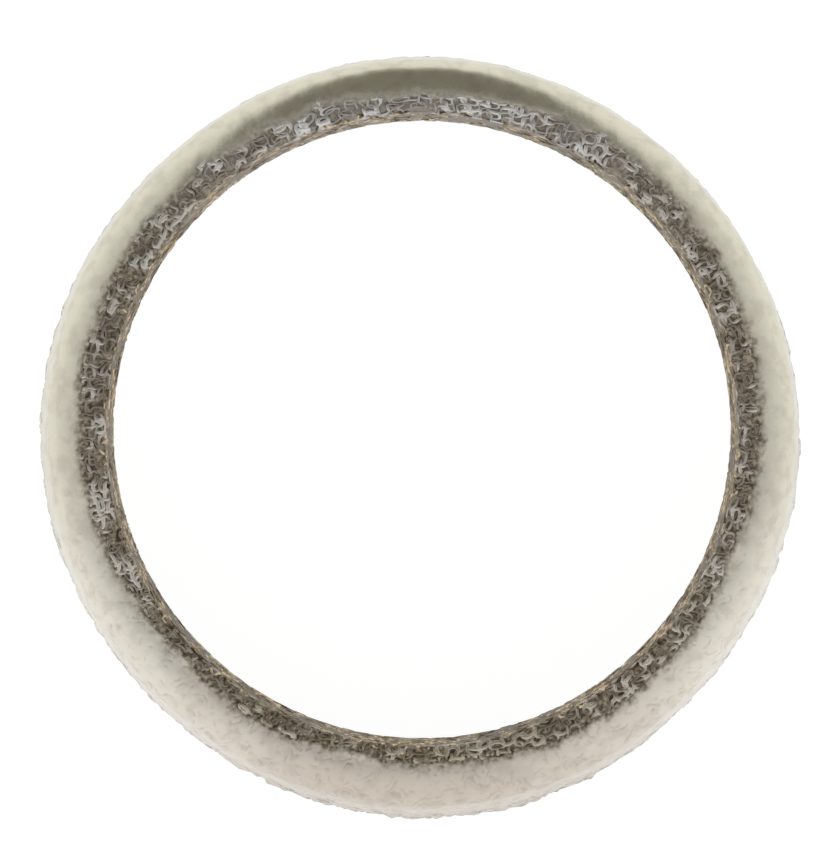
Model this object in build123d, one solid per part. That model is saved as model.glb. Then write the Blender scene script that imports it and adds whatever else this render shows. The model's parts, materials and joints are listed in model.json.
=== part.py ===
from build123d import *
from math import atan2, cos, degrees, hypot, sin, tau
import os

# Exhaust gasket ring, pressed in a die from a rolled band of knitted steel wire and graphite.
# It is one piece. It slips over the end of a pipe by its bore, its wide end rests on the pipe's
# collar, and its spherical outside seals in the flared end of the next pipe.
# Millimetres. The origin is the centre of the bore at the wide end, +Z points to the narrow end.

# Bore and overall height
BORE_DIAMETER = 50.7
HEIGHT = 14.0

# Narrow end: a flat ring of bare wire between the bore's broken edge and a rounded shoulder
NARROW_EDGE_CHAMFER = 0.5
NARROW_FACE_WIDTH = 1.43
SHOULDER_RADIUS = 3.0

# Wide end: broken edges, and the straight band under the spherical seat
WIDE_EDGE_CHAMFER = 0.5
WIDE_CORNER_CHAMFER = 0.8
BAND_HEIGHT = 3.9

# Bare wire of both ends: a zigzag of crushed knitted loops, with gaps between its strands
WIRE_DIAMETER = 0.34
GAP_DEPTH = 0.35
RIM_WIDTH = 0.1
NARROW_LOOPS = 60
WIDE_LOOPS = 60
LOOP_WANDER = 0.17
LOOP_WANDER_STEP = 2.4

# The seat is a sphere about the bore's axis, sized so that the shoulder runs into it smoothly
bore_radius = BORE_DIAMETER / 2
narrow_face_inner = bore_radius + NARROW_EDGE_CHAMFER
narrow_face_outer = narrow_face_inner + NARROW_FACE_WIDTH
equator_height = WIDE_CORNER_CHAMFER + BAND_HEIGHT
shoulder_height = HEIGHT - SHOULDER_RADIUS
seat_radius = SHOULDER_RADIUS + hypot(narrow_face_outer, shoulder_height - equator_height)
seat_sweep = degrees(atan2(shoulder_height - equator_height, narrow_face_outer))
wide_face_inner = bore_radius + WIDE_EDGE_CHAMFER
wide_face_outer = seat_radius - WIDE_CORNER_CHAMFER


def ring_section():
    """Half section of the ring: spherical seat and shoulder above, straight sides for the rest."""
    with BuildSketch(Plane.XZ) as section:
        with BuildLine():
            CenterArc((0, equator_height), seat_radius, 0, seat_sweep)
            CenterArc(
                (narrow_face_outer, shoulder_height), SHOULDER_RADIUS, seat_sweep, 90 - seat_sweep
            )
            Polyline(
                (narrow_face_outer, HEIGHT),
                (narrow_face_inner, HEIGHT),
                (bore_radius, HEIGHT - NARROW_EDGE_CHAMFER),
                (bore_radius, WIDE_EDGE_CHAMFER),
                (wide_face_inner, 0),
                (wide_face_outer, 0),
                (seat_radius, WIDE_CORNER_CHAMFER),
                (seat_radius, equator_height),
            )
        make_face()
    return section.sketch


def loop_bends(loops, inner, outer):
    """Where the crushed wire turns back, by turns at the inner and the outer rim of its face."""
    bends = []
    for step in range(2 * loops):
        turn = step + LOOP_WANDER * sin(LOOP_WANDER_STEP * step)
        angle = tau * turn / (2 * loops)
        radius = outer if step % 2 else inner
        bends.append(Vector(radius * cos(angle), radius * sin(angle)))
    return bends


def inset_triangle(a, b, c, inset):
    """The triangle whose sides lie this far inside those of triangle a, b, c."""
    side_a, side_b, side_c = (c - b).length, (a - c).length, (b - a).length
    perimeter = side_a + side_b + side_c
    centre = (a * side_a + b * side_b + c * side_c) / perimeter
    inscribed_radius = (b - a).cross(c - a).length / perimeter
    keep = 1 - inset / inscribed_radius
    return [centre + (corner - centre) * keep for corner in (a, b, c)]


def wire_gaps(loops, inner, outer):
    """Gaps between the strands of one zigzag of crushed wire, as prisms standing on z = 0."""
    bends = loop_bends(loops, inner + RIM_WIDTH, outer - RIM_WIDTH)
    gaps = []
    for step, bend in enumerate(bends):
        following = bends[(step + 1) % len(bends)]
        after = bends[(step + 2) % len(bends)]
        corners = inset_triangle(bend, following, after, WIRE_DIAMETER / 2)
        outline = make_face(Polyline(*corners, close=True))
        gaps.append(extrude(outline, GAP_DEPTH, dir=(0, 0, 1)))
    return gaps


def gasket_ring():
    """The pressed ring, with the gaps of the bare wire sunk into both ends."""
    ring = revolve(ring_section(), Axis.Z)
    wide_gaps = wire_gaps(WIDE_LOOPS, wide_face_inner, wide_face_outer)
    narrow_gaps = wire_gaps(NARROW_LOOPS, narrow_face_inner, narrow_face_outer)
    return ring - wide_gaps - [Pos(0, 0, HEIGHT - GAP_DEPTH) * gap for gap in narrow_gaps]


os.makedirs("parts", exist_ok=True)
export_step(gasket_ring(), "parts/gasket_ring.step")
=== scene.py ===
import json
import bpy
import numpy as np
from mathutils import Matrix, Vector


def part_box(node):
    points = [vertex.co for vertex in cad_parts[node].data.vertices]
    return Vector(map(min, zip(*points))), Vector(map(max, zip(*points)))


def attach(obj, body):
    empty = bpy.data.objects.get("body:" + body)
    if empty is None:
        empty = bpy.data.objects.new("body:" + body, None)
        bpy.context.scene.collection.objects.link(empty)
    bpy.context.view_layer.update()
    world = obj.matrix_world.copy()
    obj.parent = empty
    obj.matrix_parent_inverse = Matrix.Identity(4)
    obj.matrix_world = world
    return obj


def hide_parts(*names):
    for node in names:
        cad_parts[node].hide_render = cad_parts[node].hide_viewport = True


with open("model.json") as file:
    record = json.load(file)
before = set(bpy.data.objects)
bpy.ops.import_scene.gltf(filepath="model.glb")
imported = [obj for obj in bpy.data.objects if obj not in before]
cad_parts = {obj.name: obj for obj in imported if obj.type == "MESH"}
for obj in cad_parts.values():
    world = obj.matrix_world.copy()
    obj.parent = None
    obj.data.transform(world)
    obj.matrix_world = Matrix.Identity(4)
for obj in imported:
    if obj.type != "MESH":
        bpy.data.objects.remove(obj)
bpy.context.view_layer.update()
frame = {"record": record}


# The pressed ring. A band of knitted steel wire and graphite is rolled up and squeezed in a die.
# Where the die's polished wall bore on it, wire and graphite are burnished to one pale skin;
# the two ends and the bore stay bare, with dark filler sunk between the wires.

MM = 0.001
TURN = 2 * np.pi

mounts = {mount["name"]: mount for mount in frame["record"]["mounts"]}
ring_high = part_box("gasket_ring")[1]
bore_radius = mounts["bore"]["dims"]["r_mm"] * MM
seat_radius = ring_high[0]
ring_height = ring_high[2]
equator_height = mounts["spherical_seat"]["pos_m"][2]
shoulder_radius = 3.0 * MM
bore_edge_radius = 0.6 * MM
wide_corner_radius = 1.2 * MM

# Points on each arc of the section's outline, evenly spaced points round the whole section, and
# how near to each other two points count as one
ARC_POINTS = 40
SECTION_POINTS = 900
SAME_POINT = 1e-9

# The outside isn't quite round, nor true to the bore. Waves round the ring say by how much, each
# with its count, its height, and the angle of a crest in degrees. A count of 0 is the same all round
OUT_OF_ROUND = [
    (0, -0.09 * MM, 0),
    (1, 0.74 * MM, -102),
    (2, 0.09 * MM, -46),
    (3, 0.07 * MM, 48),
    (4, 0.17 * MM, 0),
]

# Skin of the seat: where it starts on the shoulder and how that sways round the ring, how far it
# runs under the wide corner, how ragged its edge is, how wide the slope down from the edge is and
# how many of its widths outside the edge it ends, and the lip at the edge on the shoulder
SKIN_START = 0.1 * MM
SKIN_SWAY = [
    (1, 0.3 * MM, 75),
    (2, 0.2 * MM, -14),
    (3, 0.25 * MM, 45),
    (5, 0.06 * MM, 13),
    (6, 0.12 * MM, 3),
]
SKIN_UNDER_CORNER = 0.5 * MM
SKIN_FRAY = 0.3 * MM
SKIN_EDGE = 0.42 * MM
SKIN_REACH = 1.6
SKIN_LIP = 0.1 * MM
SKIN_LIP_WIDTH = 0.45 * MM

# How far the skin lies under the die's own shape, how it waves, and how it bulges over the wires
# at the band. Most of a bulge's height is sunk, so that only its top stands out
SKIN_DEPTH = 0.05 * MM
SKIN_WAVE = 0.05 * MM
BAND_BULGE = 0.4 * MM
BULGE_SUNK = 0.4

# Filler between bare wires: how deep it lies at the ends and in the bore and where it changes,
# how it lumps and how much less in the bore, and how near the skin's edge it lies deeper at the
# front of the ring and less deep at the back
FILLER_DEPTH = 0.17 * MM
BORE_FILLER_DEPTH = 0.07 * MM
BORE_BLEND = 0.5 * MM
FILLER_LUMP = 0.13 * MM
BORE_CALM = 0.6
UNDERCUT_DEPTH = 0.22 * MM
BACK_FILL = 0.13 * MM
UNDERCUT_WIDTH = 0.45 * MM

# The layers of lumps that each random field adds up, each with its share, its size and its seed
FRAY_LAYERS = [(1.0, 2.2 * MM, 11), (0.6, 0.8 * MM, 12)]
FILLER_LAYERS = [(0.5, 1.1 * MM, 21), (0.5, 0.45 * MM, 22)]
WAVE_LAYERS = [(0.6, 3.0 * MM, 31), (0.4, 1.1 * MM, 32)]
BULGE_LAYERS = [(0.25, 2.0 * MM, 33), (0.35, 0.9 * MM, 33), (0.4, 0.45 * MM, 33)]


def arc(centre, radius, start, end):
    """Points on a circle about the centre, from one angle to the other, in degrees."""
    turn = np.radians(np.linspace(start, end, ARC_POINTS))
    return np.column_stack([centre[0] + radius * np.cos(turn), centre[1] + radius * np.sin(turn)])


def ring_section():
    """The half section's outline as (radius, height) points: up the bore, out over the narrow end,
    down the seat and back under the wide end. Also the distance along it at each part's end."""
    rise = ring_height - shoulder_radius - equator_height
    face_outer = np.sqrt((seat_radius - shoulder_radius) ** 2 - rise**2)
    tilt = np.degrees(np.arctan2(rise, face_outer))
    inner = bore_radius + bore_edge_radius
    top = ring_height - bore_edge_radius
    outer = seat_radius - wide_corner_radius
    parts = [
        np.array([[bore_radius, bore_edge_radius], [bore_radius, top]]),
        arc((inner, top), bore_edge_radius, 180, 90),
        np.array([[inner, ring_height], [face_outer, ring_height]]),
        arc((face_outer, ring_height - shoulder_radius), shoulder_radius, 90, tilt),
        arc((0, equator_height), seat_radius, tilt, 0),
        np.array([[seat_radius, equator_height], [seat_radius, wide_corner_radius]]),
        arc((outer, wide_corner_radius), wide_corner_radius, 0, -90),
        np.array([[outer, 0], [inner, 0]]),
        arc((inner, bore_edge_radius), bore_edge_radius, 270, 180),
    ]
    lengths = [np.linalg.norm(np.diff(part, axis=0), axis=1).sum() for part in parts]
    return np.vstack(parts), np.concatenate([[0], np.cumsum(lengths)])


# The section at evenly spaced points, and its outward normal there, square to the line between
# the points two before and two after. Of the outside's waves, the bore and the narrow end take
# nothing and the straight band all
outline, marks = ring_section()
(bore_start, bore_end, face_start, face_end, shoulder_end, seat_end, band_end, corner_end,
 base_end, section_length) = marks
outline_step = np.linalg.norm(np.diff(outline, axis=0), axis=1)
outline_kept = np.concatenate([[True], outline_step > SAME_POINT])
outline_along = np.concatenate([[0], np.cumsum(outline_step)])[outline_kept]
along = np.linspace(0, section_length, SECTION_POINTS, endpoint=False)
section_radius = np.interp(along, outline_along, outline[outline_kept, 0])
section_height = np.interp(along, outline_along, outline[outline_kept, 1])
section_out = np.column_stack([
    np.roll(section_height, 2) - np.roll(section_height, -2),
    np.roll(section_radius, -2) - np.roll(section_radius, 2),
])
section_out /= np.linalg.norm(section_out, axis=1)[:, None]
outside_share = np.interp(along, [face_end, seat_end, corner_end, base_end], [0, 1, 1, 0])


def sway(turn, waves):
    """Height of waves that stand round the ring: the sum of a cosine for each."""
    return sum(height * np.cos(count * (turn - np.radians(crest))) for count, height, crest in waves)


def place(turn, distance, out):
    """Where a point of the ring lies: this angle round the bore, this distance along the section's
    outline, and this far out of it along its normal. The outside stands off the true circle."""
    def at(values):
        return np.interp(distance, along, values, period=section_length)
    outside = at(outside_share) * sway(turn, OUT_OF_ROUND)
    radius = at(section_radius) + out * at(section_out[:, 0]) + outside
    height = at(section_height) + out * at(section_out[:, 1])
    return np.stack([radius * np.cos(turn), radius * np.sin(turn), height], axis=-1)


def smooth_step(value):
    """Rises from 0 to 1 as the value does, level at both ends: three times its square less twice
    its cube."""
    value = np.clip(value, 0, 1)
    return value * value * (3 - 2 * value)


def lumps(turn, distance, size, seed):
    """Smooth random field from -1 to 1: random values at points this size apart on the ring's
    surface, blended with a smooth step between them. It closes round the ring."""
    columns = int(round(TURN * (bore_radius + seat_radius) / 2 / size))
    rows = int(round(section_length / size))
    field = np.random.default_rng(seed).uniform(-1, 1, (rows, columns))
    u = np.mod(turn, TURN) / TURN * columns
    v = np.mod(distance, section_length) / section_length * rows
    column, row = np.floor(u).astype(int), np.floor(v).astype(int)
    across, up = smooth_step(u - column), smooth_step(v - row)
    after, above = (column + 1) % columns, (row + 1) % rows
    column, row = column % columns, row % rows
    low = field[row, column] * (1 - across) + field[row, after] * across
    high = field[above, column] * (1 - across) + field[above, after] * across
    return low * (1 - up) + high * up


def layered_lumps(turn, distance, layers, seed=0):
    """Sum of fields of lumps, each times its share. The seed is added to that of each layer."""
    return sum(share * lumps(turn, distance, size, seed + own) for share, size, own in layers)


def front(turn):
    """1 at the front of the ring, 0 at the back."""
    return 0.5 - 0.5 * np.sin(turn)


def near_front(turn):
    """1 at the front of the ring, and soon down to 0 on the way to the back: front, cubed."""
    return front(turn) ** 3


def skin_inset(turn, distance):
    """How far inside the skin's ragged edge a point lies, and below zero how far outside it."""
    start = face_end + SKIN_START + sway(turn, SKIN_SWAY)
    stop = corner_end + SKIN_UNDER_CORNER
    fray = SKIN_FRAY * layered_lumps(turn, distance, FRAY_LAYERS)
    return np.minimum(distance - start, stop - distance) + fray


def skin_level(turn, distance):
    """Height of the skin against the die's own shape: it waves a little under it, stands up to a
    lip at its edge on the shoulder, and bulges over the wires at the straight band."""
    wave = layered_lumps(turn, distance, WAVE_LAYERS)
    bulge = layered_lumps(turn, distance, BULGE_LAYERS)
    on_band = smooth_step((distance - shoulder_end) / (seat_end - shoulder_end))
    on_band = on_band * smooth_step((corner_end - distance) / (corner_end - band_end))
    past_fray = distance - face_end - SKIN_START - sway(turn, SKIN_SWAY) + SKIN_FRAY
    lip = SKIN_LIP * np.exp(-np.maximum(past_fray, 0) / SKIN_LIP_WIDTH)
    return SKIN_WAVE * wave + BAND_BULGE * (bulge - BULGE_SUNK) * on_band + lip - SKIN_DEPTH


def ring_relief(turn, distance):
    """Height of the ring's surface against the die's own shape: the skin where it covers, and
    elsewhere the sunk and lumpy filler, deepest at the skin's edge at the front, and nearly level
    with the skin at its edge at the back."""
    in_bore = smooth_step((bore_end - distance) / BORE_BLEND)
    depth = FILLER_DEPTH + (BORE_FILLER_DEPTH - FILLER_DEPTH) * in_bore
    lump = layered_lumps(turn, distance, FILLER_LAYERS)
    inset = skin_inset(turn, distance)
    undercut = UNDERCUT_DEPTH * near_front(turn) - BACK_FILL * (1 - front(turn)) ** 2
    undercut = undercut * smooth_step(1 + inset / UNDERCUT_WIDTH)
    filler = -depth + FILLER_LUMP * lump * (1 - BORE_CALM * in_bore) - undercut
    cover = smooth_step(inset / SKIN_EDGE + SKIN_REACH)
    return filler * (1 - cover) + skin_level(turn, distance) * cover


def grid_faces(rows, columns):
    """Four corners of each face of a grid of points that closes on itself both ways, turned so
    that the faces look outwards."""
    row, column = np.arange(rows)[:, None], np.arange(columns)[None, :]
    after_row, after_column = (row + 1) % rows, (column + 1) % columns
    corners = [row * columns + column, after_row * columns + column,
               after_row * columns + after_column, row * columns + after_column]
    return np.stack(corners, axis=-1).reshape(-1, 4)


def mesh_piece(name, points, faces, material, slot, **attributes):
    """A smooth mesh of four-cornered faces that rides on the ring's body. Each attribute is one
    number for each point."""
    mesh = bpy.data.meshes.new(name)
    mesh.vertices.add(len(points))
    mesh.vertices.foreach_set("co", points.ravel().astype(np.float32))
    mesh.loops.add(faces.size)
    mesh.loops.foreach_set("vertex_index", faces.ravel().astype(np.int32))
    mesh.polygons.add(len(faces))
    mesh.polygons.foreach_set("loop_start", np.arange(0, faces.size, 4, dtype=np.int32))
    mesh.polygons.foreach_set("use_smooth", np.ones(len(faces), dtype=bool))
    for label, values in attributes.items():
        attribute = mesh.attributes.new(label, "FLOAT", "POINT")
        attribute.data.foreach_set("value", values.ravel().astype(np.float32))
    mesh.update(calc_edges=True)
    mesh.validate()
    mesh.materials.append(material)
    piece = bpy.data.objects.new(name, mesh)
    bpy.context.scene.collection.objects.link(piece)
    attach(piece, "root")
    return piece


def linear(hex_colour):
    """An sRGB hex colour as linear red, green, blue and alpha, by the sRGB curve."""
    value = np.array([int(hex_colour[i:i + 2], 16) for i in (1, 3, 5)]) / 255
    bright = ((value + 0.055) / 1.055) ** 2.4
    return (*np.where(value <= 0.04045, value / 12.92, bright), 1.0)


def add_node(tree, kind, links=(), values=(), stops=(), **settings):
    """Adds a node with its own settings, then its inputs as (input, output that feeds it) links
    and (input, value) pairs, and the stops of a colour ramp as (position, hex colour) pairs."""
    node = tree.nodes.new(kind)
    for key, setting in settings.items():
        setattr(node, key, setting)
    for socket, output in links:
        tree.links.new(output, node.inputs[socket])
    for socket, value in values:
        node.inputs[socket].default_value = value
    if stops:
        elements = node.color_ramp.elements
        while len(elements) < len(stops):
            elements.new(0.5)
        for element, (position, colour) in zip(elements, stops):
            element.position = position
            element.color = linear(colour)
    return node


def empty_material(name):
    """A material and its node tree, with nothing in it."""
    material = bpy.data.materials.new(name)
    material.use_nodes = True
    material.node_tree.nodes.clear()
    return material, material.node_tree


def front_to_back(tree, place_on_ring, noise, share):
    """0 at the front of the ring and 1 at its back, moved this way and that by a share of noise."""
    axes = add_node(tree, "ShaderNodeSeparateXYZ", [(0, place_on_ring)])
    backward = add_node(tree, "ShaderNodeMapRange", [("Value", axes.outputs["Y"])],
                        [("From Min", -seat_radius), ("From Max", seat_radius),
                         ("To Min", -share / 2), ("To Max", 1 - share / 2)], clamp=False)
    moved = add_node(tree, "ShaderNodeMath", [(0, noise), (2, backward.outputs["Result"])],
                     [(1, share)], operation="MULTIPLY_ADD")
    return moved.outputs[0]


# Noises of the ring's material, each with its grain and its detail: blotches of tint on the skin,
# fine and coarse crumbs of filler, the crush that bends the printed knit, and how it is worn away
RING_NOISES = {
    "blotch": (5.0 * MM, 3.0),
    "fine": (0.35 * MM, 2.0),
    "crumb": (0.7 * MM, 2.0),
    "crush": (1.3 * MM, 3.0),
    "wear": (0.9 * MM, 1.0),
}

# Where filler turns to skin, by the inset in millimetres, and how far crumbs move that
SKIN_FROM, SKIN_TO = -0.1, 0.85
CRUMB_MOVE = 0.9

# Knit printed in the skin: loops round the ring, courses along the section, and the width of their
# lines. A loop swings to either side and is crushed by these shares of a course. Toward the back of
# the ring, by this much for each metre, more and more of the print is worn away
PRINT_LOOPS = 92
PRINT_COURSE = 1.1 * MM
PRINT_LINE = 0.42 * MM
PRINT_SWING = 0.45
PRINT_CRUSH = 3.5
PRINT_WORN_BACK = -7.0
PRINT_KEPT_FROM, PRINT_KEPT_TO = 0.58, 0.85

# The skin's colour from the front of the ring to its back, with painted light: the front is painted
# darker and a little pink, a painted shade and reflection. Blotches move it by this share of the way,
# and grey graphite lies in the print and in smudges
SKIN_COLOURS_PAINTED_SHADE = [
    (0.04, "#CFC5B8"), (0.12, "#DCD4C8"), (0.22, "#E4DFD2"), (0.45, "#DCD7C6"), (0.9, "#DEDAC6"),
]
BLOTCH_SHARE = 0.18
GRAPHITE_COLOUR = "#9D9388"
PRINT_GRAPHITE = 0.3
SMUDGE_GRAPHITE = 0.22
SMUDGE_FROM, SMUDGE_TO = 0.42, 0.68

# The filler's colours in its crumbs, and the pale grey of a painted highlight that it turns toward
# at the back of the ring: from this share of the seat's radius, and up to this share of grey
FILLER_COLOURS = [(0.34, "#453C2F"), (0.5, "#7C705D"), (0.64, "#ADA290")]
BACK_FILLER_PAINTED_HIGHLIGHT = "#A09B93"
BACK_FILLER_FROM = 0.3
BACK_FILLER_SHARE = 0.7

# Roughness and metal share of filler and of skin, and how deep the print and the crumbs are
FILLER_ROUGHNESS, SKIN_ROUGHNESS = 0.6, 0.27
FILLER_METAL, SKIN_METAL = 0.3, 0.9
PRINT_HEIGHT = -1.5
BUMP_STRENGTH = 0.3
BUMP_DISTANCE = 0.03 * MM


def burnished_ring_material():
    """Skin: steel and graphite rubbed by the die to one satin metal, pale and a little cream,
    with graphite left in the outlines of the loops and in faint smudges, and painted shade that
    makes its front darker and a little pink. Bare filler: crumbly graphite, burnt brown, with a
    painted highlight that turns it pale grey at the back, and dull. The attribute inset, in
    millimetres, tells them apart, and crumbs fray the edge between them."""
    material, tree = empty_material("burnished_mesh_and_graphite")
    place_on_ring = add_node(tree, "ShaderNodeTexCoord").outputs["Object"]
    axes = add_node(tree, "ShaderNodeSeparateXYZ", [(0, place_on_ring)])
    noise = {}
    for label, (grain, detail) in RING_NOISES.items():
        grains = add_node(tree, "ShaderNodeTexNoise", [("Vector", place_on_ring)],
                          [("Scale", 1 / grain), ("Detail", detail)])
        noise[label] = grains.outputs["Fac"]

    inset = add_node(tree, "ShaderNodeAttribute", attribute_name="inset").outputs["Fac"]
    ragged = add_node(tree, "ShaderNodeMath", [(0, noise["crumb"]), (2, inset)], [(1, CRUMB_MOVE)],
                      operation="MULTIPLY_ADD")
    skin = add_node(tree, "ShaderNodeMapRange", [("Value", ragged.outputs[0])],
                    [("From Min", SKIN_FROM), ("From Max", SKIN_TO)],
                    interpolation_type="SMOOTHSTEP").outputs["Result"]

    turn = add_node(tree, "ShaderNodeMath", [(0, axes.outputs["Y"]), (1, axes.outputs["X"])],
                    operation="ARCTAN2")
    loops = add_node(tree, "ShaderNodeMath", [(0, turn.outputs[0])], [(1, PRINT_LOOPS)],
                     operation="MULTIPLY")
    swing = add_node(tree, "ShaderNodeMath", [(0, loops.outputs[0])], operation="COSINE")
    courses = add_node(tree, "ShaderNodeAttribute", attribute_name="courses").outputs["Fac"]
    bent = add_node(tree, "ShaderNodeMath", [(0, swing.outputs[0]), (2, courses)],
                    [(1, PRINT_SWING)], operation="MULTIPLY_ADD")
    crushed = add_node(tree, "ShaderNodeMath", [(0, noise["crush"]), (2, bent.outputs[0])],
                       [(1, PRINT_CRUSH)], operation="MULTIPLY_ADD")
    off_line = add_node(tree, "ShaderNodeMath", [(0, crushed.outputs[0])], [(1, 0.5)],
                        operation="PINGPONG")
    line = add_node(tree, "ShaderNodeMapRange", [("Value", off_line.outputs[0])],
                    [("From Max", PRINT_LINE / PRINT_COURSE), ("To Min", 1.0), ("To Max", 0.0)],
                    interpolation_type="SMOOTHSTEP")
    kept = add_node(tree, "ShaderNodeMath", [(0, axes.outputs["Y"]), (2, noise["wear"])],
                    [(1, PRINT_WORN_BACK)], operation="MULTIPLY_ADD")
    kept = add_node(tree, "ShaderNodeMapRange", [("Value", kept.outputs[0])],
                    [("From Min", PRINT_KEPT_FROM), ("From Max", PRINT_KEPT_TO)],
                    interpolation_type="SMOOTHSTEP")
    printed = add_node(tree, "ShaderNodeMath", [(0, line.outputs["Result"]), (1, kept.outputs["Result"])],
                       operation="MULTIPLY").outputs[0]

    # Painted shade: by place alone, the skin is coloured darker and a little pink at the front of the
    # ring
    tint = front_to_back(tree, place_on_ring, noise["blotch"], BLOTCH_SHARE)
    pale = add_node(tree, "ShaderNodeValToRGB", [("Fac", tint)], stops=SKIN_COLOURS_PAINTED_SHADE)
    smudge = add_node(tree, "ShaderNodeMapRange", [("Value", noise["crush"])],
                      [("From Min", SMUDGE_FROM), ("From Max", SMUDGE_TO), ("To Max", SMUDGE_GRAPHITE)],
                      interpolation_type="SMOOTHSTEP")
    graphite = add_node(tree, "ShaderNodeMath", [(0, printed), (2, smudge.outputs["Result"])],
                        [(1, PRINT_GRAPHITE)], operation="MULTIPLY_ADD")
    skin_colour = add_node(tree, "ShaderNodeMix",
                           [("Factor", graphite.outputs[0]), (6, pale.outputs["Color"])],
                           [(7, linear(GRAPHITE_COLOUR))], data_type="RGBA")

    crumbs = add_node(tree, "ShaderNodeValToRGB", [("Fac", noise["fine"])], stops=FILLER_COLOURS)
    # Painted highlight: by place alone, the filler turns pale grey toward the back of the ring
    back = add_node(tree, "ShaderNodeMapRange", [("Value", axes.outputs["Y"])],
                    [("From Min", BACK_FILLER_FROM * seat_radius), ("From Max", seat_radius),
                     ("To Max", BACK_FILLER_SHARE)], interpolation_type="SMOOTHSTEP")
    filler_colour = add_node(tree, "ShaderNodeMix",
                             [("Factor", back.outputs["Result"]), (6, crumbs.outputs["Color"])],
                             [(7, linear(BACK_FILLER_PAINTED_HIGHLIGHT))], data_type="RGBA")

    colour = add_node(tree, "ShaderNodeMix",
                      [("Factor", skin), (6, filler_colour.outputs[2]), (7, skin_colour.outputs[2])],
                      data_type="RGBA")
    rough = add_node(tree, "ShaderNodeMapRange", [("Value", skin)],
                     [("To Min", FILLER_ROUGHNESS), ("To Max", SKIN_ROUGHNESS)])
    metal = add_node(tree, "ShaderNodeMapRange", [("Value", skin)],
                     [("To Min", FILLER_METAL), ("To Max", SKIN_METAL)])
    height = add_node(tree, "ShaderNodeMath", [(0, printed), (2, noise["fine"])],
                      [(1, PRINT_HEIGHT)], operation="MULTIPLY_ADD")
    bump = add_node(tree, "ShaderNodeBump", [("Height", height.outputs[0])],
                    [("Strength", BUMP_STRENGTH), ("Distance", BUMP_DISTANCE)])
    shader = add_node(tree, "ShaderNodeBsdfPrincipled", [
        ("Base Color", colour.outputs[2]), ("Roughness", rough.outputs["Result"]),
        ("Metallic", metal.outputs["Result"]), ("Normal", bump.outputs["Normal"])])
    add_node(tree, "ShaderNodeOutputMaterial", [("Surface", shader.outputs["BSDF"])])
    return material


# The ring's grid: columns round it, and rows along each part of its section in turn
RING_COLUMNS = 880
PART_ROWS = [8, 5, 14, 22, 24, 14, 8, 12, 5]
row_marks = np.concatenate([[0], np.cumsum(PART_ROWS)])
rows = np.interp(np.arange(row_marks[-1]), row_marks, marks)
columns = np.linspace(0, TURN, RING_COLUMNS, endpoint=False)
row_grid, column_grid = np.meshgrid(rows, columns, indexing="ij")
ring = mesh_piece(
    "pressed_ring",
    place(column_grid, row_grid, ring_relief(column_grid, row_grid)).reshape(-1, 3),
    grid_faces(len(rows), RING_COLUMNS),
    burnished_ring_material(),
    "pressed_skin",
    inset=skin_inset(column_grid, row_grid) / MM,
    courses=row_grid / PRINT_COURSE,
)
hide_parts("gasket_ring")


# Bare wire of the narrow end: the edge loops of the rolled knit, bent over and crushed flat by
# the die, of drawn stainless steel. Their tops are level with the end, and their feet sit in filler.

WIRE_DIAMETER = 0.29 * MM
WIRE_SIDES = 6

# How much of its height a wire loses to the die at most, how much lower each course lies than the
# one before, and how deep a wire goes under the skin. The lead is how far before the skin it starts
# to sink, and the width how far it takes to do so, each at the back and at the front of the ring
MOST_PRESSED = 0.35
COURSE_DROP = 0.0015 * MM
UNDER_SKIN = 0.3 * MM
SINK_LEAD = (0.07 * MM, 0.55 * MM)
SINK_WIDTH = (0.22 * MM, 0.4 * MM)

# How uneven the knit is: how many loops more or fewer a course has, how they drift round the
# ring in radians of a loop, how their swing differs, how far they double back at each turn as a
# share of a loop, how far they are crushed to the side, and how they weave up and down
LOOPS_MORE_OR_FEWER = 4
DRIFT, DRIFT_SIZE = 0.9, 4.0 * MM
SWING_CHANGE, SWING_CHANGE_SIZE = 0.5, 2.0 * MM
DOUBLING_BACK = 0.13
CRUSH, CRUSH_SIZE = 0.21 * MM, 0.9 * MM
WEAVE = 0.5
UNEVEN_LAYERS = [(1.1, 0.9 * MM, 5), (0.6, 2.6 * MM, 6)]

# Where the die rubbed a wire bright: from a little under its wall, fully so this much higher, and
# by some share beside the skin too, within this width of it
RUBBED_UNDER = 0.05 * MM
RUBBED_OVER = 0.16 * MM
RUBBED_BY_SKIN = 0.6
RUBBED_SKIN_WIDTH = 0.6 * MM


def bare_level(turn, distance):
    """The die's own wall, which bare wire is pressed to, and under the skin where that covers it.
    At the front of the ring the wire sinks some way before it meets the skin."""
    lead = SINK_LEAD[0] + (SINK_LEAD[1] - SINK_LEAD[0]) * near_front(turn)
    width = SINK_WIDTH[0] + (SINK_WIDTH[1] - SINK_WIDTH[0]) * near_front(turn)
    return -UNDER_SKIN * smooth_step((skin_inset(turn, distance) + lead) / width)


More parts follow.
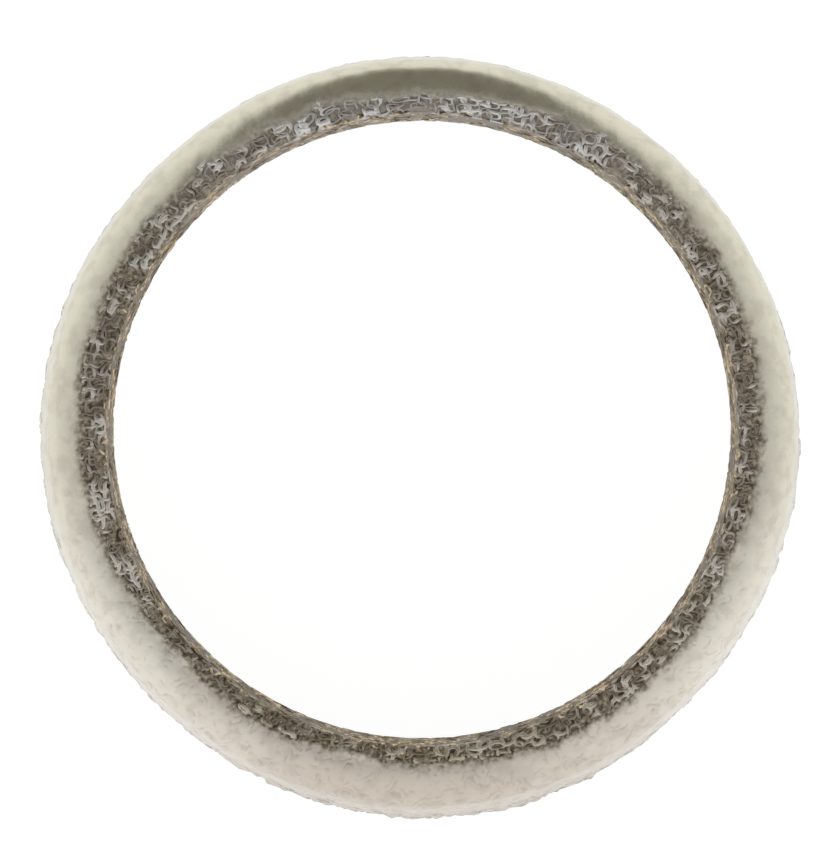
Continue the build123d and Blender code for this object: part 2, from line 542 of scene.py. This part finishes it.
def knit_wires(name, material, first, last, courses, loops, reach, seed, waves=0.12 * MM,
               bury=0.02 * MM, per_loop=15):
    """Courses of crushed knit between two distances along the section. Each wire runs round the
    ring and swings to either side of its course, doubling back a little at each turn, and random
    fields bend it and space its loops unevenly. Its top rises and dips; where it would pass the
    die's wall it is pressed to it, and what it loses in height it gains in width. Each course
    lies a hair lower than the one before, so that no two wires that cross are flush. The attribute
    rubbed is 1 where the die rubbed the wire bright and 0 where it dips out of reach."""
    random = np.random.default_rng(seed)
    course = np.arange(courses)[:, None]
    spread = random.integers(-LOOPS_MORE_OR_FEWER, LOOPS_MORE_OR_FEWER + 1, courses)
    loop_count = loops + spread[:, None]
    turn = np.linspace(0, TURN, loops * per_loop, endpoint=False)[None, :] + 0 * course
    middle = first + (last - first) * (course + 0.5) / courses + 0 * turn
    phase = loop_count * turn + random.uniform(0, TURN, courses)[:, None]
    phase = phase + DRIFT * lumps(turn, middle, DRIFT_SIZE, seed + 1)
    swing = reach * (1 + SWING_CHANGE * lumps(turn, middle, SWING_CHANGE_SIZE, seed + 2))
    turn = turn + TURN / loop_count * DOUBLING_BACK * np.sin(2 * phase)
    distance = middle + swing * np.cos(phase)
    radius = np.interp(distance, along, section_radius, period=section_length)
    turn = turn + CRUSH * lumps(turn, distance, CRUSH_SIZE, seed + 3) / radius
    distance = distance + CRUSH * lumps(turn, distance, CRUSH_SIZE, seed + 4)

    weave = WEAVE * np.cos(2 * phase + np.pi * course)
    rise = waves * (weave + layered_lumps(turn, distance, UNEVEN_LAYERS, seed)) - bury
    thickness = WIRE_DIAMETER - np.clip(rise, 0, MOST_PRESSED * WIRE_DIAMETER)
    width = WIRE_DIAMETER**2 / thickness
    wall = bare_level(turn, distance) - COURSE_DROP * course
    middle_out = wall + np.minimum(rise, 0) - thickness / 2

    step_round = radius * (np.mod(np.roll(turn, -2, 1) - np.roll(turn, 2, 1) + np.pi, TURN) - np.pi)
    step_along = np.roll(distance, -2, 1) - np.roll(distance, 2, 1)
    step = np.hypot(step_round, step_along)
    side_round, side_along = -step_along / step, step_round / step
    edge = np.linspace(0, TURN, WIRE_SIDES, endpoint=False)
    across = width[..., None] / 2 * np.cos(edge)
    points = place(
        turn[..., None] + across * (side_round / radius)[..., None],
        distance[..., None] + across * side_along[..., None],
        middle_out[..., None] + thickness[..., None] / 2 * np.sin(edge),
    )
    count = points.shape[1]
    faces = grid_faces(count, WIRE_SIDES)[None] + course[:, :, None] * count * WIRE_SIDES

    by_skin = smooth_step(1 + skin_inset(turn, distance) / RUBBED_SKIN_WIDTH) * (1 - near_front(turn))
    rubbed = smooth_step((rise + RUBBED_UNDER) / RUBBED_OVER)
    rubbed = rubbed + RUBBED_BY_SKIN * by_skin * (1 - rubbed)
    rubbed = np.repeat(rubbed[..., None], WIRE_SIDES, axis=-1)
    mesh_piece(name, points.reshape(-1, 3), faces.reshape(-1, 4), material, "bare_wire", rubbed=rubbed)


WIRE_METAL = 0.9
WIRE_ROUGHNESS = 0.42
WIRE_NOISE_DETAIL = 2.0


def drawn_wire_material(name, bright_stops, dull_stops, patch, smear=1.0, share=1.0,
                        slanting_tint="#FFFFFF"):
    """Drawn stainless wire, heat-tinted in patches of this size, which a smear above 1 draws out
    along the bore. With a share below 1 the colour also runs from the front of the ring to its
    back by place, which paints light and shade there. Satin where the die rubbed it, as the
    attribute rubbed says, and dull with filler where it dips. The last colour is that of light which
    only grazes it."""
    material, tree = empty_material(name)
    place_on_ring = add_node(tree, "ShaderNodeTexCoord").outputs["Object"]
    smeared = add_node(tree, "ShaderNodeVectorMath", [(0, place_on_ring)], [(1, (1, 1, 1 / smear))],
                       operation="MULTIPLY")
    tint = add_node(tree, "ShaderNodeTexNoise", [("Vector", smeared.outputs[0])],
                    [("Scale", 1 / patch), ("Detail", WIRE_NOISE_DETAIL)]).outputs["Fac"]
    # Painted light: the colour is moved from the front of the ring to its back by place
    if share < 1:
        tint = front_to_back(tree, place_on_ring, tint, share)
    rubbed = add_node(tree, "ShaderNodeAttribute", attribute_name="rubbed").outputs["Fac"]
    bright = add_node(tree, "ShaderNodeValToRGB", [("Fac", tint)], stops=bright_stops)
    dull = add_node(tree, "ShaderNodeValToRGB", [("Fac", tint)], stops=dull_stops)
    colour = add_node(tree, "ShaderNodeMix",
                      [("Factor", rubbed), (6, dull.outputs["Color"]), (7, bright.outputs["Color"])],
                      data_type="RGBA")
    shader = add_node(tree, "ShaderNodeBsdfPrincipled", [("Base Color", colour.outputs[2])],
                      [("Metallic", WIRE_METAL), ("Roughness", WIRE_ROUGHNESS),
                       ("Specular Tint", linear(slanting_tint))])
    add_node(tree, "ShaderNodeOutputMaterial", [("Surface", shader.outputs["BSDF"])])
    return material


# The end wire's colours run from the front of the ring to its back with painted light: painted
# shade leaves the front darker and yellower, and a painted highlight leaves the back palest. Patches
# move them by this share of the way
END_BRIGHT_PAINTED_LIGHT = [(0.05, "#C4BBA8"), (0.25, "#D6D1C6"), (0.5, "#D2CEC5"), (0.8, "#CBC6BC"), (0.95, "#E2E1DF")]
END_DULL_PAINTED_LIGHT = [(0.05, "#7E725E"), (0.25, "#91887A"), (0.5, "#8B8276"), (0.8, "#867C6D"), (0.95, "#B0ABA4")]
END_PATCH = 2.5 * MM
END_PATCH_SHARE = 0.25
END_LOOPS = 86
end_wire_material = drawn_wire_material("drawn_steel_wire", END_BRIGHT_PAINTED_LIGHT, END_DULL_PAINTED_LIGHT, END_PATCH,
                                        share=END_PATCH_SHARE)
knit_wires(
    "narrow_end_wire", end_wire_material, first=bore_end + 0.15 * MM, last=face_end + 0.6 * MM,
    courses=6, loops=END_LOOPS, reach=0.55 * MM, seed=40,
)


# Bare wire of the bore: the innermost turn of the knit, laid against the die's core pin, which
# pressed it level with the wall. Heat and graphite leave it browner than the end's wire.

BORE_BRIGHT = [(0.4, "#5E503E"), (0.48, "#A18E76"), (0.53, "#FFF2DC"), (0.62, "#E6D2B4")]
BORE_DULL = [(0.4, "#4E4232"), (0.48, "#887862"), (0.53, "#DECDB2"), (0.62, "#C0AC92")]
BORE_PATCH = 1.4 * MM
BORE_SMEAR = 4
BORE_SLANTING = "#DCC9AA"
BORE_LOOPS = 92
bore_wire_material = drawn_wire_material("heat_tinted_wire", BORE_BRIGHT, BORE_DULL, BORE_PATCH,
                                         smear=BORE_SMEAR, slanting_tint=BORE_SLANTING)
knit_wires(
    "bore_wire", bore_wire_material, first=bore_start - 0.3 * MM, last=bore_end + 0.4 * MM,
    courses=8, loops=BORE_LOOPS, reach=0.95 * MM, seed=60, waves=0.08 * MM, bury=0.03 * MM, per_loop=14,
)


# Bare wire of the wide end, which the ring rests on: the other edge of the rolled knit, crushed
# like the narrow end's wire, over a wider face.

knit_wires(
    "wide_end_wire", end_wire_material, first=corner_end + 0.3 * MM, last=base_end + 0.8 * MM,
    courses=9, loops=END_LOOPS, reach=0.5 * MM, seed=80, per_loop=13,
)


# The studio: a white table, and soft white light all round but for a dark wall high behind the
# table. Only the ring's shadow keeps the table from plain white.

TABLE_HALF = 1.5
TABLE_COLOUR = "#E8E8E6"

# How much of what is seen of the table is plain white, and its strength, which makes up for the
# darker rest
SEEN_WHITE = 0.85
SEEN_STRENGTH = 1.13


def white_table_material():
    """Matt white to light. To the camera and in reflections mostly plain white, with the shadow
    showing through the rest."""
    material, tree = empty_material("white_table")
    path = add_node(tree, "ShaderNodeLightPath")
    seen = path.outputs["Is Camera Ray"]
    for ray in ("Is Glossy Ray", "Is Transmission Ray"):
        seen = add_node(tree, "ShaderNodeMath", [(0, seen), (1, path.outputs[ray])],
                        operation="MAXIMUM").outputs[0]
    share = add_node(tree, "ShaderNodeMath", [(0, seen)], [(1, SEEN_WHITE)], operation="MULTIPLY")
    matt = add_node(tree, "ShaderNodeBsdfDiffuse", values=[("Color", linear(TABLE_COLOUR))])
    plain = add_node(tree, "ShaderNodeEmission", values=[("Strength", SEEN_STRENGTH)])
    mix = add_node(tree, "ShaderNodeMixShader",
                   [("Fac", share.outputs[0]), (1, matt.outputs[0]), (2, plain.outputs[0])])
    add_node(tree, "ShaderNodeOutputMaterial", [("Surface", mix.outputs[0])])
    return material


table_mesh = bpy.data.meshes.new("table")
table_corners = TABLE_HALF * np.array([(-1, -1, 0), (1, -1, 0), (1, 1, 0), (-1, 1, 0)])
table_mesh.from_pydata(table_corners.tolist(), [], [(0, 1, 2, 3)])
table_mesh.materials.append(white_table_material())
table = bpy.data.objects.new("table", table_mesh)
bpy.context.scene.collection.objects.link(table)

# The studio's light falls off towards a dim place overhead, and behind the table stands a dark
# wall. Each has the azimuth and elevation of its middle, and its reach sideways and up and down on
# a sphere of radius 1. The room's colours run from the middle of the dim place to its reach, and
# the wall fades out between these shares of its reach
DIM_MIDDLE, DIM_REACH = np.radians([103, 80]), (2.88, 1.12)
DIM_COLOURS = [
    (0.05, "#B1B1B1"), (0.14, "#B6B6B6"), (0.2, "#C5C5C5"), (0.3, "#D4D4D4"), (0.38, "#DEDEDE"),
    (0.5, "#E6E6E6"), (0.67, "#F0F0F0"), (0.9, "#F9F9F9"), (1.0, "#FDFDFD"),
]
WALL_MIDDLE, WALL_REACH = np.radians([90, 44]), (0.41, 0.77)
WALL_COLOUR = "#6E6A60"
WALL_FADE = (0.78, 1.2)


def studio_light():
    """White surroundings, dimmer high behind the table, with the dark wall. For each of the two,
    the distance from its middle is measured in shares of its reach."""
    world = bpy.data.worlds.new("studio")
    bpy.context.scene.world = world
    world.use_nodes = True
    tree = world.node_tree
    tree.nodes.clear()
    direction = add_node(tree, "ShaderNodeTexCoord").outputs["Generated"]
    far_out = []
    for (turn, rise), (sideways, upward) in ((DIM_MIDDLE, DIM_REACH), (WALL_MIDDLE, WALL_REACH)):
        middle = (np.cos(turn) * np.cos(rise), np.sin(turn) * np.cos(rise), np.sin(rise))
        shares = (1 / sideways, 1 / upward, 1 / upward)
        offset = add_node(tree, "ShaderNodeVectorMath", [(0, direction)], [(1, middle)],
                          operation="SUBTRACT")
        scaled = add_node(tree, "ShaderNodeVectorMath", [(0, offset.outputs[0])], [(1, shares)],
                          operation="MULTIPLY")
        length = add_node(tree, "ShaderNodeVectorMath", [(0, scaled.outputs[0])], operation="LENGTH")
        far_out.append(length.outputs["Value"])
    room = add_node(tree, "ShaderNodeValToRGB", [("Fac", far_out[0])], stops=DIM_COLOURS)
    clear = add_node(tree, "ShaderNodeMapRange", [("Value", far_out[1])],
                     [("From Min", WALL_FADE[0]), ("From Max", WALL_FADE[1])],
                     interpolation_type="SMOOTHSTEP")
    light = add_node(tree, "ShaderNodeMix",
                     [("Factor", clear.outputs["Result"]), (7, room.outputs["Color"])],
                     [(6, linear(WALL_COLOUR))], data_type="RGBA")
    background = add_node(tree, "ShaderNodeBackground", [("Color", light.outputs[2])])
    add_node(tree, "ShaderNodeOutputWorld", [("Surface", background.outputs[0])])


studio_light()


# The camera looks straight down the bore. Its distance shows as much of the bore's wall as the
# photo does, and its lens and place put the bore where the photo has it.

FRAME_SIZE = (840, 850)
BORE_CENTRE = (422.0, 429.6)
BORE_PIXELS = 307.6
CAMERA_HEIGHT = 520 * MM
SENSOR_WIDTH = 36.0
NEAREST_SEEN, FARTHEST_SEEN = 0.01, 10.0
camera_data = bpy.data.cameras.new("camera")
camera = bpy.data.objects.new("camera", camera_data)
bpy.context.scene.collection.objects.link(camera)
pixels_per_metre = BORE_PIXELS / bore_radius
camera_data.sensor_width = SENSOR_WIDTH
camera_data.lens = pixels_per_metre * CAMERA_HEIGHT / max(FRAME_SIZE) * SENSOR_WIDTH
camera.location = (
    (FRAME_SIZE[0] / 2 - BORE_CENTRE[0]) / pixels_per_metre,
    (BORE_CENTRE[1] - FRAME_SIZE[1] / 2) / pixels_per_metre,
    CAMERA_HEIGHT,
)
camera_data.clip_start = NEAREST_SEEN
camera_data.clip_end = FARTHEST_SEEN
bpy.context.scene.camera = camera
bpy.context.scene.view_settings.view_transform = "Standard"
